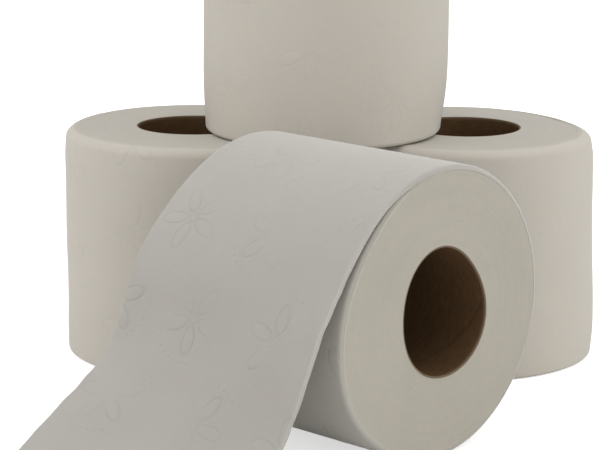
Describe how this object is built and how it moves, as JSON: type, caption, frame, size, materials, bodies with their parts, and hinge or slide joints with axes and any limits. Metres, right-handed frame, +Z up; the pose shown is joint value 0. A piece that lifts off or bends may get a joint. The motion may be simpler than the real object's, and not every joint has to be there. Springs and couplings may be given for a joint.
{
  "type": "toilet paper roll set",
  "caption": "Set of soft toilet rolls: two standing side by side, one stacked on them, and one lying in front with its sheet hanging loose to the floor.",
  "frame": {"origin": "on the floor, under the middle of the set's box", "axes": "+Z up; the lying roll's axis is along Y with its open end towards -Y, and its loose sheet runs out towards -X"},
  "size_m": [0.384, 0.228, 0.192],
  "materials": {
    "tissue": "soft embossed tissue, matt",
    "core_board": "plain grey-brown board, matt"
  },
  "bodies": {
    "root": {"left_roll_paper": "tissue", "left_roll_core": "core_board", "right_roll_paper": "tissue", "right_roll_core": "core_board", "top_roll_paper": "tissue", "top_roll_core": "core_board", "front_roll_paper": "tissue", "front_roll_core": "core_board"}
  },
  "joints": []
}
